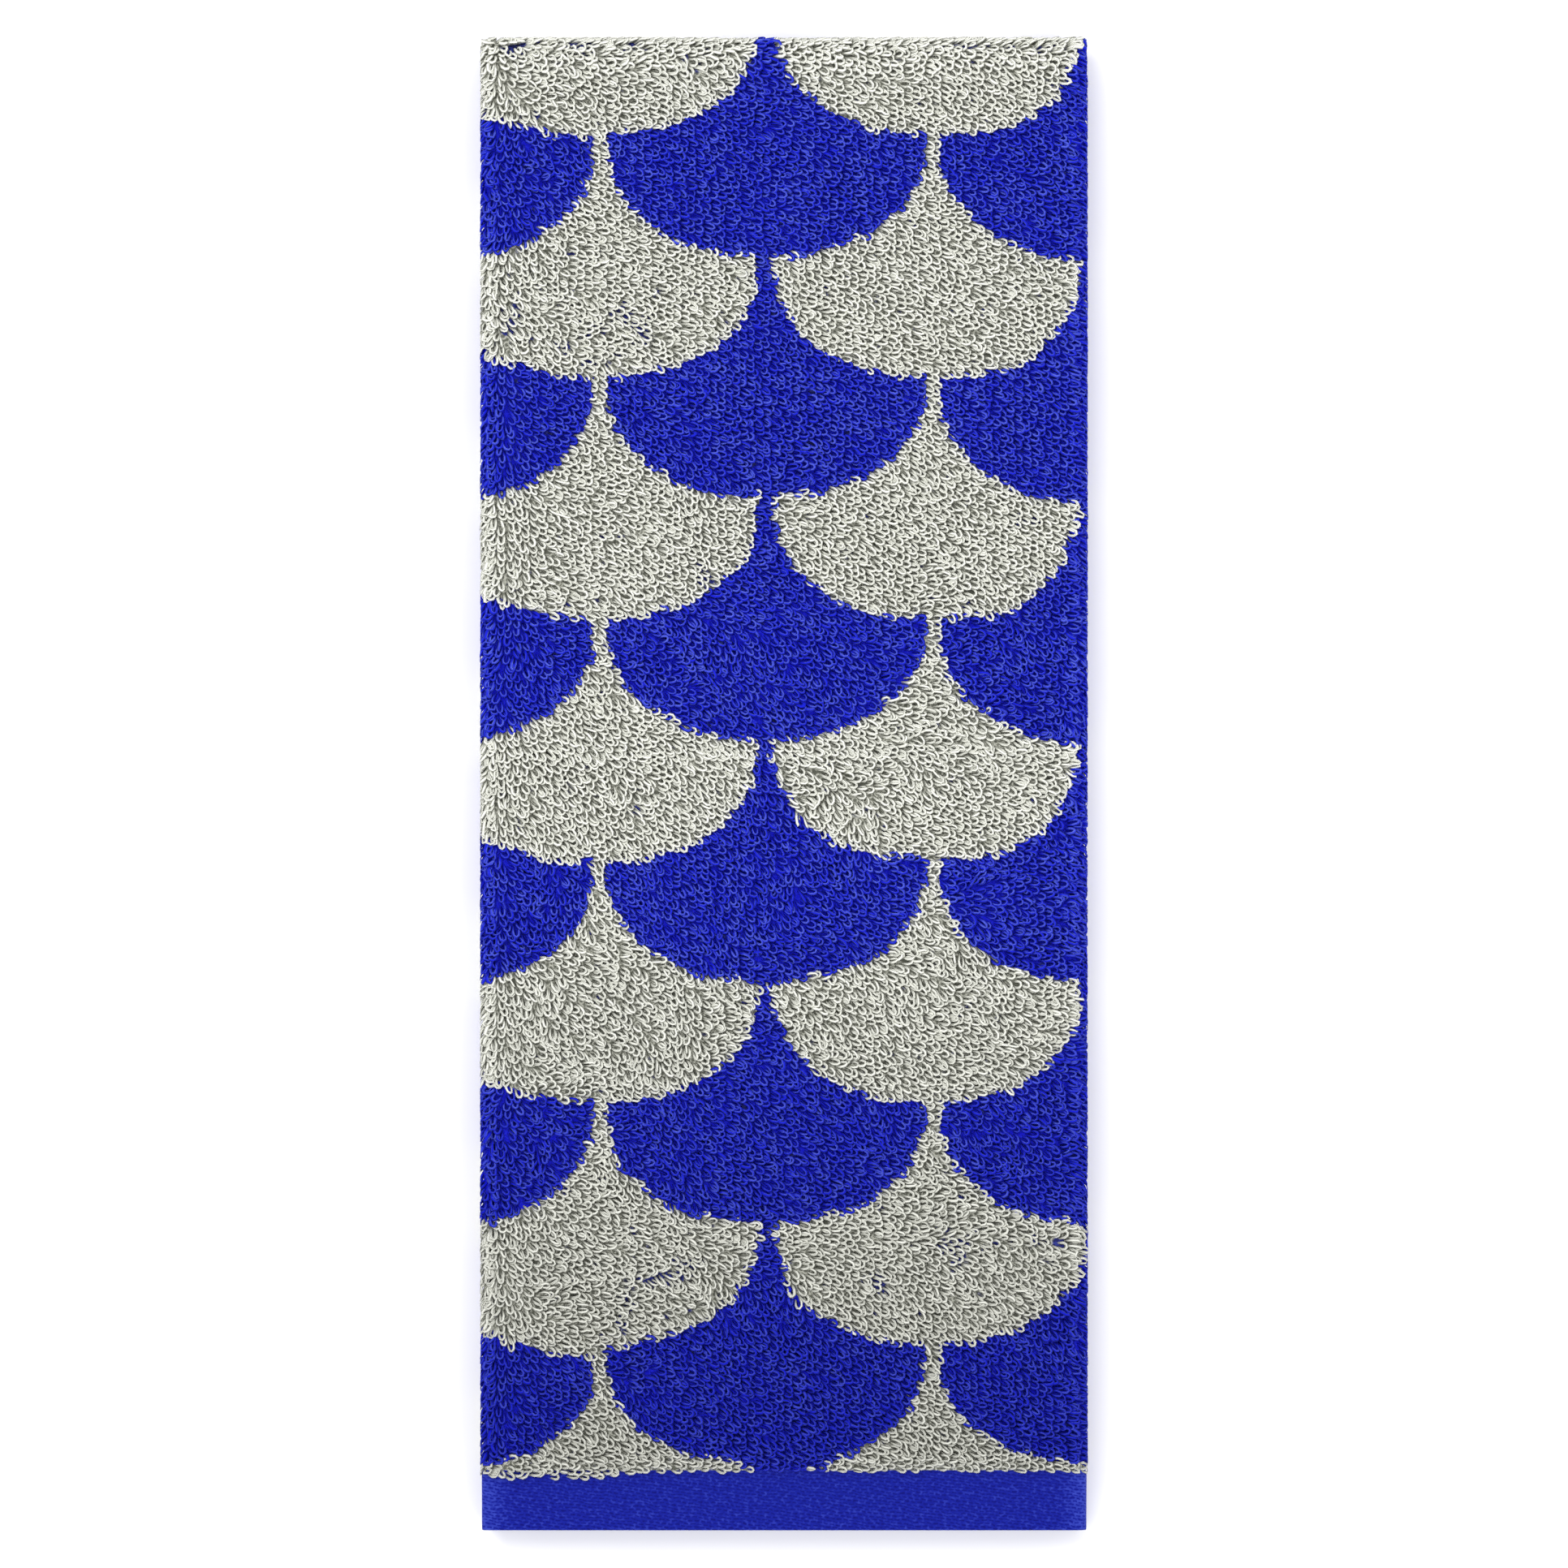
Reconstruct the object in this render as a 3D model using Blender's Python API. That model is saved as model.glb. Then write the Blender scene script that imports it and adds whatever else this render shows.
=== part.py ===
"""Hand towel of looped terry, folded in thirds lengthwise and then in half.

The towel is one piece of cloth, so it is one closed solid. Across the folded towel its section is the
cloth going back and forth in three layers: the face panel in the middle third, and the two outer thirds
behind it. That section runs down the face, round the fold at the far end and back along the underside,
so that six layers lie on each other and all the hems meet at the near end.

Units are metres, +Z is up. The towel lies on its back panel with the hems at -Y and the fold at +Y. The
origin is on the surface, under the middle of the towel.
"""

import math

import bmesh
import bpy

# Folded size
PANEL_WIDTH = 0.1520
FOLDED_LENGTH = 0.3745

# Cloth: the woven ground with the loops of both faces, and the flat woven hem
TERRY_THICKNESS = 0.0029
HEM_THICKNESS = 0.0014
HEM_LENGTH = 0.0147
HEM_STEP = 0.0020

# Layers: the distance from one to the next, in the stack and at the open end of the hems
LAYER_PITCH = 0.0033
HEM_PITCH = 0.00245
LEAST_GAP = 0.0004
DROOP_LENGTH = 0.0270
LAYERS = 6

# Room left by the selvedges of the two folded-in thirds, inside the folds that they lie in
INNER_SELVEDGE_ROOM = 0.0008
OUTER_SELVEDGE_ROOM = 0.0026
SELVEDGE_ROUNDING = 0.3

# Unevenness of hand-folded cloth
SWELL = 0.030
SWELL_LENGTH = 0.230
SWELL_WIDTH = 0.190
WANDER = 0.0006
WANDER_LENGTH = 0.260
LOWER_TAPER = 0.010
HEM_RECESS = 0.0022
RECESS_LENGTH = 0.060

# Steps along the section and along the length
FLAP_STEPS = 4
FACE_STEPS = 8
TIGHT_FOLD_STEPS = 6
WIDE_FOLD_STEPS = 8
TOP_FOLD_STEPS = 12
LENGTH_STEPS = 9
HEM_STATIONS = (0.0, 0.0050, 0.0100, 0.0137, 0.0157, 0.0210, 0.0270)

BLUE = (0.018, 0.026, 0.330, 1.0)
ROUGHNESS = 0.9


def smooth_step(value, low, high):
    """0 below low, 1 above high, and an even S between them."""
    share = min(max((value - low) / (high - low), 0.0), 1.0)
    return share * share * (3.0 - 2.0 * share)


def layer_pitch(from_hem):
    """The distance between layers, which droop together towards their hems."""
    return HEM_PITCH + (LAYER_PITCH - HEM_PITCH) * smooth_step(from_hem, 0.0, DROOP_LENGTH)


def cloth_thickness(from_hem):
    """The thickness of one layer: terry, pressed a little near the hem, and then the flat hem."""
    terry = min(TERRY_THICKNESS, layer_pitch(from_hem) - LEAST_GAP)
    edge = HEM_LENGTH - HEM_STEP / 2
    return HEM_THICKNESS + (terry - HEM_THICKNESS) * smooth_step(from_hem, edge, edge + HEM_STEP)


def stack_height(from_hem):
    return (LAYERS - 1) * layer_pitch(from_hem) + cloth_thickness(from_hem)


def spread(start, end, steps):
    """The values after start up to end, in even steps."""
    return [start + (end - start) * (step + 1) / steps for step in range(steps)]


def middle_line(thickness, pitch):
    """The middle of the cloth across the folded towel, from the inner selvedge to the outer one.

    Each point is (x, depth below the face, x and depth of its direction)."""
    face = thickness / 2
    inner = face + pitch
    outer = face + 2 * pitch
    left = -PANEL_WIDTH / 2 + thickness / 2 + pitch / 2
    right = PANEL_WIDTH / 2 - thickness / 2 - pitch
    inner_end = right + pitch - thickness - INNER_SELVEDGE_ROOM
    outer_end = -PANEL_WIDTH / 2 + OUTER_SELVEDGE_ROOM

    line = [(inner_end, inner, -1.0, 0.0)]
    line += [(x, inner, -1.0, 0.0) for x in spread(inner_end, left, FLAP_STEPS)]
    for turn in spread(0.0, math.pi, TIGHT_FOLD_STEPS):
        x = left - pitch / 2 * math.sin(turn)
        depth = (face + inner) / 2 + pitch / 2 * math.cos(turn)
        line.append((x, depth, -math.cos(turn), -math.sin(turn)))
    line += [(x, face, 1.0, 0.0) for x in spread(left, right, FACE_STEPS)]
    for turn in spread(0.0, math.pi, WIDE_FOLD_STEPS):
        x = right + pitch * math.sin(turn)
        depth = inner - pitch * math.cos(turn)
        line.append((x, depth, math.cos(turn), math.sin(turn)))
    line += [(x, outer, -1.0, 0.0) for x in spread(right, outer_end, FLAP_STEPS)]
    return line


def section(from_hem):
    """The two sides of the cloth across the folded towel, outer side first, as (x, depth) points."""
    thickness = cloth_thickness(from_hem)
    half = thickness / 2
    outer_side, inner_side = [], []
    for x, depth, along_x, along_depth in middle_line(thickness, layer_pitch(from_hem)):
        outer_side.append((x + half * along_depth, depth - half * along_x))
        inner_side.append((x - half * along_depth, depth + half * along_x))
    return outer_side, inner_side


def stations():
    """Where the sections stand: (part of the towel, distance from the hems or turn of the top fold)."""
    fold_start = FOLDED_LENGTH - stack_height(FOLDED_LENGTH) / 2
    straight = list(HEM_STATIONS) + spread(HEM_STATIONS[-1], fold_start, LENGTH_STEPS)
    turns = spread(0.0, math.pi, TOP_FOLD_STEPS)[:-1]
    return (
        [("face", distance) for distance in straight]
        + [("fold", turn) for turn in turns]
        + [("back", distance) for distance in reversed(straight)]
    )


def place(part, value, x, depth):
    """A section's point in space, before the cloth is made uneven. y is the distance from the hems."""
    if part == "fold":
        radius = stack_height(FOLDED_LENGTH) / 2
        y = FOLDED_LENGTH - radius + (radius - depth) * math.sin(value)
        return x, y, radius + (radius - depth) * math.cos(value)
    recess = HEM_RECESS * (1.0 - smooth_step(value, 0.0, RECESS_LENGTH))
    y = value + recess * depth / (LAYERS / 2 * LAYER_PITCH)
    return x, y, stack_height(value) - depth if part == "face" else depth


def uneven(x, y, z):
    """The small swells of the stack, and the wander of its lower folds, which the face hides.

    The underside stays flat."""
    swell = math.sin(2 * math.pi * y / SWELL_LENGTH + 0.6) * math.cos(math.pi * x / SWELL_WIDTH)
    low = 1.0 - min(z / stack_height(FOLDED_LENGTH), 1.0)
    wander = WANDER * low * math.sin(2 * math.pi * y / WANDER_LENGTH + 1.0)
    return x * (1.0 - LOWER_TAPER * low) + wander, y, z * (1.0 + SWELL * swell)


def centred(rings):
    """The rings moved in X and Y, so that the origin lies under the middle of their box."""
    xs = [point[0] for ring in rings for point in ring]
    ys = [point[1] for ring in rings for point in ring]
    middle_x = (min(xs) + max(xs)) / 2
    middle_y = (min(ys) + max(ys)) / 2
    return [[(x - middle_x, y - middle_y, z) for x, y, z in ring] for ring in rings]


def section_rings():
    """One closed ring of points for each station, the outer side and then the inner side backwards.

    A middle point rounds each selvedge a little."""
    rings = []
    for part, value in stations():
        from_hem = FOLDED_LENGTH if part == "fold" else value
        outer_side, inner_side = section(from_hem)
        rounding = SELVEDGE_ROUNDING * cloth_thickness(from_hem)
        start_tip = (outer_side[0][0] + rounding, (outer_side[0][1] + inner_side[0][1]) / 2)
        end_tip = (outer_side[-1][0] - rounding, (outer_side[-1][1] + inner_side[-1][1]) / 2)
        loop = outer_side + [end_tip] + inner_side[::-1] + [start_tip]
        rings.append([uneven(*place(part, value, x, depth)) for x, depth in loop])
    return centred(rings)


def close_end(mesh, ring, flip):
    """Closes a ring's end with quads across the cloth, and a triangle at each rounded selvedge."""
    last = len(ring) // 2 - 2
    faces = [(ring[last], ring[last + 1], ring[last + 2])]
    faces.append((ring[-1], ring[0], ring[-2]))
    for step in range(last):
        faces.append((ring[step], ring[step + 1], ring[-3 - step], ring[-2 - step]))
    for corners in faces:
        mesh.faces.new(corners[::-1] if flip else corners)


def terry_material():
    material = bpy.data.materials.new("blue_terry")
    material.use_nodes = True
    shader = material.node_tree.nodes["Principled BSDF"]
    shader.inputs["Base Color"].default_value = BLUE
    shader.inputs["Roughness"].default_value = ROUGHNESS
    shader.inputs["Metallic"].default_value = 0.0
    return material


def build_towel():
    mesh = bmesh.new()
    rings = [[mesh.verts.new(point) for point in ring] for ring in section_rings()]
    count = len(rings[0])
    for ring, following in zip(rings, rings[1:]):
        for step in range(count):
            nearby = (step + 1) % count
            mesh.faces.new((ring[step], ring[nearby], following[nearby], following[step]))
    close_end(mesh, rings[0], flip=True)
    close_end(mesh, rings[-1], flip=False)
    bmesh.ops.recalc_face_normals(mesh, faces=mesh.faces)

    data = bpy.data.meshes.new("towel")
    mesh.to_mesh(data)
    mesh.free()
    data.shade_smooth()
    data.set_sharp_from_angle(angle=math.radians(40))
    data.materials.append(terry_material())
    towel = bpy.data.objects.new("towel", data)
    bpy.context.scene.collection.objects.link(towel)


def main():
    for thing in list(bpy.data.objects):
        bpy.data.objects.remove(thing, do_unlink=True)
    build_towel()


main()
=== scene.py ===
import math

import bpy
import numpy as np
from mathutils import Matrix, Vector


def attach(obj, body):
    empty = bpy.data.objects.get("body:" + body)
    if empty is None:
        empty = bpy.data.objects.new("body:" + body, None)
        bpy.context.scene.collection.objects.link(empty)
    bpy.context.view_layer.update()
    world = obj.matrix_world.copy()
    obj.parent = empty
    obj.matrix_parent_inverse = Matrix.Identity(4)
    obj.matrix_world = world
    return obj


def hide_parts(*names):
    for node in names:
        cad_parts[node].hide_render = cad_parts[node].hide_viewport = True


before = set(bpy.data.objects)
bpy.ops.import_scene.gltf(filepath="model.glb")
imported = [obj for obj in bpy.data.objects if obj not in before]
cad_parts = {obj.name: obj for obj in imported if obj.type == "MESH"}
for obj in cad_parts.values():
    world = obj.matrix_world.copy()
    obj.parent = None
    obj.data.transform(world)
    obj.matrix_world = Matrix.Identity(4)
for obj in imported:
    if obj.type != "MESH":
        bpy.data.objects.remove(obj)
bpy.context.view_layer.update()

# The folded towel, as its solid has it: across in three layers, then in half. Metres throughout
PANEL_WIDTH = 0.1520
FOLDED_LENGTH = 0.3745
TERRY_THICKNESS = 0.0029
HEM_THICKNESS = 0.0014
HEM_LENGTH = 0.0147
HEM_STEP = (HEM_LENGTH - 0.001, HEM_LENGTH + 0.001)
LAYER_PITCH = 0.0033
HEM_PITCH = 0.00245
LEAST_GAP = 0.0004
DROOP_LENGTH = 0.0270
LAYERS = 6
INNER_SELVEDGE_ROOM = 0.0008
OUTER_SELVEDGE_ROOM = 0.0026
SWELL = 0.030
SWELL_LENGTH = 0.230
SWELL_START = 0.6
SWELL_WIDTH = 0.190
WANDER = 0.0006
WANDER_LENGTH = 0.260
WANDER_START = 1.0
LOWER_TAPER = 0.010
HEM_RECESS = 0.0022
RECESS_LENGTH = 0.060

# The corners at the top fold, filled out by the layers inside them
LEFT_CORNER = 0.0031
RIGHT_CORNER = 0.0048
CORNER_POWER = 7.0
SIDE_POWER = 2.5

# The cloth's lengths along its own middle
LEFT_FOLD = -PANEL_WIDTH / 2 + TERRY_THICKNESS / 2 + LAYER_PITCH / 2
RIGHT_FOLD = PANEL_WIDTH / 2 - TERRY_THICKNESS / 2 - LAYER_PITCH
INNER_FLAP = LEFT_FOLD - math.pi * LAYER_PITCH / 2
OUTER_FLAP = RIGHT_FOLD + math.pi * LAYER_PITCH
STACK = (LAYERS - 1) * LAYER_PITCH + TERRY_THICKNESS
TOP_FOLD = FOLDED_LENGTH - STACK / 2
TOP_RADIUS = (STACK - TERRY_THICKNESS) / 2
BACK_START = TOP_FOLD + math.pi * TOP_RADIUS
CLOTH_LENGTH = BACK_START + TOP_FOLD
INNER_SELVEDGE = INNER_FLAP - (RIGHT_FOLD + LEAST_GAP - INNER_SELVEDGE_ROOM - LEFT_FOLD)
OUTER_SELVEDGE = OUTER_FLAP + (RIGHT_FOLD + PANEL_WIDTH / 2 - OUTER_SELVEDGE_ROOM)
SELVEDGE_WIDTH = 0.005

# Where the cloth turns across, and how far across those places lie on the outside of the pile
LEFT_TURN = math.pi * (LAYER_PITCH + TERRY_THICKNESS) / 2
RIGHT_TURN = math.pi * (LAYER_PITCH + TERRY_THICKNESS / 2)
ACROSS_TURNS = (INNER_SELVEDGE, INNER_FLAP, LEFT_FOLD, RIGHT_FOLD, OUTER_FLAP, OUTER_SELVEDGE)
OUTSIDE_TURNS = (
    INNER_SELVEDGE - INNER_FLAP + LEFT_FOLD - LEFT_TURN,
    LEFT_FOLD - LEFT_TURN,
    LEFT_FOLD,
    RIGHT_FOLD,
    RIGHT_FOLD + RIGHT_TURN,
    RIGHT_FOLD + RIGHT_TURN + OUTER_SELVEDGE - OUTER_FLAP,
)

# The cloth's sheet: how far out its face lies under the loops, and where. How far inside the terry it lies
# where hidden, where it steps up from the flat weave and changes its looks, and its rounded edges
BED_OUT = 0.0008
BED_PART = (INNER_FLAP + 0.0005, OUTER_FLAP - 0.0005)
HIDDEN_MARGIN = 0.0002
HEM_STEP_UP = (HEM_LENGTH - 0.0006, HEM_LENGTH + 0.0004)
SELVEDGE_STEP_UP = (SELVEDGE_WIDTH - 0.0002, SELVEDGE_WIDTH + 0.0006)
HEM_WEAVE_END = HEM_LENGTH + 0.0007
SELVEDGE_WEAVE_END = SELVEDGE_WIDTH + 0.0002
SIDE_ROUNDING = 0.0004
THICKNESS_AT_END = 0.85

# The sheet's grid: its lines across, and its rows along the hems, the face, the underside and the top fold
SELVEDGE_LINES = np.array([0.0, SELVEDGE_WIDTH / 2, SELVEDGE_WIDTH])
FLAP_START = SELVEDGE_WIDTH + 0.0008
FLAP_LINES = 8
LEFT_FOLD_LINES = 9
FACE_LINES = 49
RIGHT_FOLD_LINES = 12
HEM_ROWS = (0.0, 0.0004, 0.003, 0.006, 0.009, 0.012, 0.0138, 0.0145, 0.0153, 0.018, 0.022, DROOP_LENGTH)
FACE_ROWS = 86
UNDER_ROWS = 36
TOP_FOLD_ROWS = 17
SHARP_ANGLE = math.radians(50.0)

# Loops: how far apart they stand, the yarn that they are made of, and how long and wide they are
COLUMN = 0.00186
ROW = 0.00156
COLUMN_JITTER = 0.12
ROW_JITTER = 0.11
YARN_HALF_WIDTH = 0.00047
YARN_HALF_HEIGHT = 0.00034
LOOP_LENGTH = 0.0034
LOOP_HALF_WIDTH = 0.00073
LOOP_SWAY = 0.0002
ROOT_OUT = 0.0005
FLOOR_CLEARANCE = 0.00002

# How much loops differ in size: the standard deviation, the least and the most
LENGTH_RANGE = (0.12, 0.65, 1.45)
WIDTH_RANGE = (0.13, 0.65, 1.5)
YARN_RANGE = (0.07, 0.82, 1.18)

# A loop's middle line, from root to root: (share of its length, share of its half-width)
ROUND_LOOP = (
    (0.0, 0.62), (0.64, 1.0), (0.90, 0.72), (1.0, 0.0), (0.90, -0.72), (0.64, -1.0), (0.0, -0.62),
)
PLAIN_LOOP = ((0.0, 0.55), (0.62, 1.0), (0.97, 0.56), (0.97, -0.56), (0.62, -1.0), (0.0, -0.55))
LEAST_LOOP = ((0.0, 0.6), (0.95, 0.9), (0.95, -0.9), (0.0, -0.6))

# Where loops stand: from the first row to the end of the finest, and back to the last. Near the hem they are
# smaller, and at the left their line drops towards its edge, though less so at the very side
FIRST_ROW = HEM_LENGTH + 0.0010
FINE_END = TOP_FOLD + 0.0100
HALF_WAY = FIRST_ROW + (FINE_END - FIRST_ROW) / 2
LAST_ROW = CLOTH_LENGTH - FIRST_ROW
SMALLER_AT_HEM = 0.16
SMALLER_ROWS = (FIRST_ROW - 0.0010, FIRST_ROW + 0.0040)
HEM_LINE_DROP = 0.0018
DROP_ROWS = (FIRST_ROW, FIRST_ROW + 0.020)
DROP_PART = (0.033, 0.050)
DROP_LOSS = 0.4
DROP_LOSS_PART = (0.0665, 0.0690)

# How much wider apart loops stand on the underside, up to where, and on the strip from there to the right
# fold. The ridge beside the left fold has closer loops of its own, and the side folds' columns are crowded
UNDER_SPREAD = 2.8
UNDER_END = RIGHT_FOLD - 0.0065
STRIP_SPREAD = 1.8
RIDGE = (LEFT_FOLD - 0.0001, LEFT_FOLD + 0.0014)
RIDGE_START = FIRST_ROW + 0.0006
RIDGE_SPREAD = 0.9
LEFT_CROWDING = 1.35
RIGHT_CROWDING = 1.2

# How the folds press the pile: how far its edges keep from the towel's outline, how softly, how much thinner
# the yarn is there and how much painted shade darkens it, and how much of their height the loops lose
SIDE_PRESS = 0.0005
TOP_PRESS = 0.0001
EDGE_GIVE = 0.0008
SIDE_PART = (0.0005, 0.0035)
SIDE_THINNING = 0.12
SIDE_SHADE = 0.06
RIGHT_PRESSED_PART = (0.0718, 0.0755)
LEFT_PRESSED_PART = (0.0725, 0.0748)
TOP_PRESSED_PART = (0.3715, 0.3765)
UNDER_PRESSED_PART = (BACK_START - 0.006, BACK_START)
PRESSED_AT_SIDES = 0.15
PRESSED_AT_TOP = 0.42
PRESSED_UNDER = 0.18

# How the pile lies, up the towel: how far along, then degrees up from the right for its left, middle and
# right, and how unruly it is. It leans mostly right and a little down, and the loops at the edges turn down
PILE_BANDS = (
    (0.020, -20.0, -27.0, -18.0, 0.35),
    (0.045, -35.0, -33.0, -35.0, 0.40),
    (0.060, -5.0, -33.0, -40.0, 0.50),
    (0.075, -45.0, -8.0, -12.0, 0.50),
    (0.095, -48.0, -36.0, -32.0, 0.65),
    (0.112, -12.0, -30.0, -18.0, 0.50),
    (0.130, -42.0, -40.0, -22.0, 0.65),
    (0.185, -48.0, -42.0, -26.0, 0.65),
    (0.230, -22.0, -30.0, -28.0, 0.45),
    (0.280, -22.0, -26.0, -28.0, 0.20),
    (0.370, -16.0, -26.0, -26.0, 0.20),
)
WAY_LEFT = -58.0
TURN_UPPER_LEFT = -30.0
WAY_LEFT_FOLD = -104.0
WAY_EDGE = -42.0
WAY_FOLD = -12.0
WAY_HEM = -5.0

# Where one way goes over into the next: from where to where, across or along
LEFT_PART = (0.010, 0.045)
RIGHT_PART = (0.020, 0.050)
RIGHT_EDGE = (0.0715, 0.0745)
LEFT_MARGIN = (0.058, 0.0695)
UPPER_LEFT = (0.225, 0.265)
LOW_LEFT_END = FIRST_ROW + 0.012
LOW_LEFT_FADE = 0.010
LEFT_RIDGE = 0.0724
OVER_RIDGE = (-0.0040, 0.0018)
FOLD_LINE = 0.3750
FOLD_LINE_DROP = 0.0037
FOLD_LINE_PART = (0.020, 0.076)
OVER_FOLD = (-0.0004, 0.0008)
HEM_WAY_END = FIRST_ROW + 0.0046
HEM_WAY_FADE = 0.0026

# Where the pile is unruly: a tousled part at the top left, and a calm edge at the hems
TOUSLED_LEFT = 0.28
TOUSLED_PART = (0.020, 0.045)
TOUSLED_ROWS = (0.270, 0.295)
LEAST_WILD = 0.3
WILD_AT_HEM = 0.3
CALM_ROWS = (FIRST_ROW + 0.0010, FIRST_ROW + 0.0050)

# Soft noises over the flat cloth: how strong, the size of their bumps, and their seed
CALM_AND_WILD = (0.9, 0.020, 18)
BROAD_STRAYING = (24.0, 0.026, 11)
NEAR_STRAYING = (42.0, 0.0085, 12)
FINE_STRAYING = (30.0, 0.0036, 15)
RIDGE_WANDER = (0.0010, 0.015, 19)
FOLD_WANDER = (0.0006, 0.012, 16)
LEAN_CHANGE = (0.16, 0.011, 13)
NOISE_SIDE = 97
NOISE_START = (40.0, 3.0)

# How flat the pile lies, and the most that counts. How steeply loops rise at their roots and tips: degrees
# from the cloth, how many fewer where the pile is flattest, and their standard deviation
LEAN = 1.02
FLATTEST = 1.3
ROOT_RISE = (78.0, 26.0, 6.0)
TIP_RISE = (44.0, 40.0, 9.0)

# How single loops stray in their way and their twist, more where the pile is unruly
WAY_JITTER = math.radians(12.0)
WAY_JITTER_CALM = 0.5
TWIST_JITTER = math.radians(18.0)
TURNED_SHARE = 0.18
TURNED_SHARE_CALM = 0.4
TURNED_JITTER = math.radians(50.0)

# The yarn's shade: how much the loops differ at random, and where along a loop its painted shade goes from
# dark to light
TONES = (0.80, 1.0)
SHADED_PART = (-0.30, 0.60)

# The pattern of scales: half a period across, the step between rows, and each scale's half-width and depth
HALF_PERIOD = 0.0414
SCALE_STEP = 0.03028
SCALE_HALF_WIDTH = 0.0396
SCALE_DEPTH = 0.02845
SCALE_POWER = 2.2
GREY_MIDDLE = -0.0474
GREY_BOTTOM = 0.2889
OVERHANG = 0.0012
NO_SCALE = -999.0

# How much lower the scales hang at the left, low at the left, at the hem and at the right, and where. And
# what share of the sag at the left is kept at the hem
LEFT_SAG = 0.0005
LOW_LEFT_SAG = 0.0032
LEFT_SAG_PART = (0.030, 0.058)
LOW_SAG_ROWS = (0.055, 0.075)
KEPT_SAG = 0.5
KEPT_SAG_ROWS = (0.022, 0.036)
HEM_SAG = 0.0026
HEM_SAG_PART = (0.006, 0.016)
HEM_SAG_ROWS = (0.018, 0.030)
RIGHT_SAG = 0.0012
RIGHT_SAG_PART = (0.035, 0.060)
RIGHT_SAG_ROWS = (0.150, 0.190)

# How far the pattern of the bed is moved from the loops' roots, to lie under the loops
BED_SHIFT = 0.0016
BED_DROP = 0.0007

# How much the scales' tips at the right edge are drawn in, up the towel: how far along, and by how much
TIP_PART = (0.052, 0.071)
TIP_SHIFTS = (
    (0.060, 0.0004), (0.122, 0.0022), (0.187, 0.0035), (0.250, 0.0036), (0.305, 0.0028), (0.360, 0.0012),
    (0.372, 0.0030),
)

# Places where the pile parts: across and along the cloth, the line's slope in degrees, its half-length, how
# hard it pushes the loops away, and how much of the ground it bares
PARTINGS = (
    (-0.0665, 0.3731, 0.0, 0.0036, 0.5, 1.0),
    (-0.0675, 0.3712, 60.0, 0.0030, 0.6, 0.9),
    (-0.0520, 0.3734, -5.0, 0.0048, 0.5, 1.25),
    (-0.0392, 0.3734, 0.0, 0.0026, 0.5, 1.2),
    (-0.0237, 0.3672, -62.0, 0.0050, 0.5, 0.5),
    (0.0545, 0.3726, -4.3, 0.0210, 0.4, 0.45),
    (0.0500, 0.0730, -1.0, 0.0180, 0.5, 0.3),
    (0.0408, 0.0722, 60.0, 0.0030, 0.6, 0.9),
    (0.0665, 0.0728, -20.0, 0.0035, 0.6, 0.9),
    (-0.0263, 0.0652, 3.0, 0.0060, 0.4, 0.95),
    (-0.0330, 0.0640, 15.0, 0.0050, 0.5, 0.7),
    (-0.0395, 0.0560, 70.0, 0.0060, 0.6, 0.8),
    (-0.0407, 0.3056, -30.0, 0.0018, 0.5, 1.05),
    (-0.0356, 0.3036, -50.0, 0.0018, 0.5, 1.05),
    (-0.0385, 0.3024, 20.0, 0.0016, 0.5, 1.0),
    (-0.0367, 0.3005, -30.0, 0.0020, 0.5, 1.05),
    (-0.0328, 0.3001, -20.0, 0.0018, 0.5, 1.05),
    (-0.0690, 0.3032, 60.0, 0.0036, 0.6, 1.02),
    (-0.0480, 0.3000, 20.0, 0.0020, 0.5, 0.9),
    (-0.0600, 0.3050, -30.0, 0.0050, 0.9, 0.3),
    (-0.0530, 0.3095, 60.0, 0.0040, 0.9, 0.3),
    (-0.0640, 0.2975, 45.0, 0.0040, 0.9, 0.3),
    (-0.0540, 0.2975, -70.0, 0.0040, 0.9, 0.3),
    (-0.0430, 0.3050, 75.0, 0.0040, 0.8, 0.4),
    (-0.0440, 0.2935, 10.0, 0.0050, 0.8, 0.3),
    (-0.0204, 0.2388, 80.0, 0.0028, 0.6, 0.8),
    (0.0600, 0.2524, 70.0, 0.0028, 0.6, 0.8),
    (0.0238, 0.0620, 50.0, 0.0030, 0.6, 1.12),
    (0.0440, 0.0690, 70.0, 0.0024, 0.6, 1.0),
    (-0.0700, 0.0163, 0.0, 0.0012, 1.7, 0.0),
)
PARTING_REACH = 0.0020
PARTING_SHARPNESS = 4.0
BARE_FROM = 0.80
BARE_JITTER = 0.06

# The yarn's colours at a loop's root, middle and tip, from painted shade to painted light, and the colour of
# the painted shade that the pile takes on towards the hem, and how much
GREY_SHADED_YARN = ((0.47, 0.475, 0.41), (0.70, 0.71, 0.63), (0.88, 0.885, 0.815))
GREY_HEM_SHADE = (0.24, 0.24, 0.21)
GREY_HEM_SHADE_SHARE = 0.40
BLUE_SHADED_YARN = ((0.002, 0.004, 0.99), (0.0092, 0.0152, 0.54), (0.205, 0.284, 0.90))
BLUE_HEM_SHADE = (0.003, 0.005, 0.31)
BLUE_HEM_SHADE_SHARE = 0.52
HEM_SHADE_PART = (0.170 - FOLDED_LENGTH / 2, 0.020 - FOLDED_LENGTH / 2)

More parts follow.
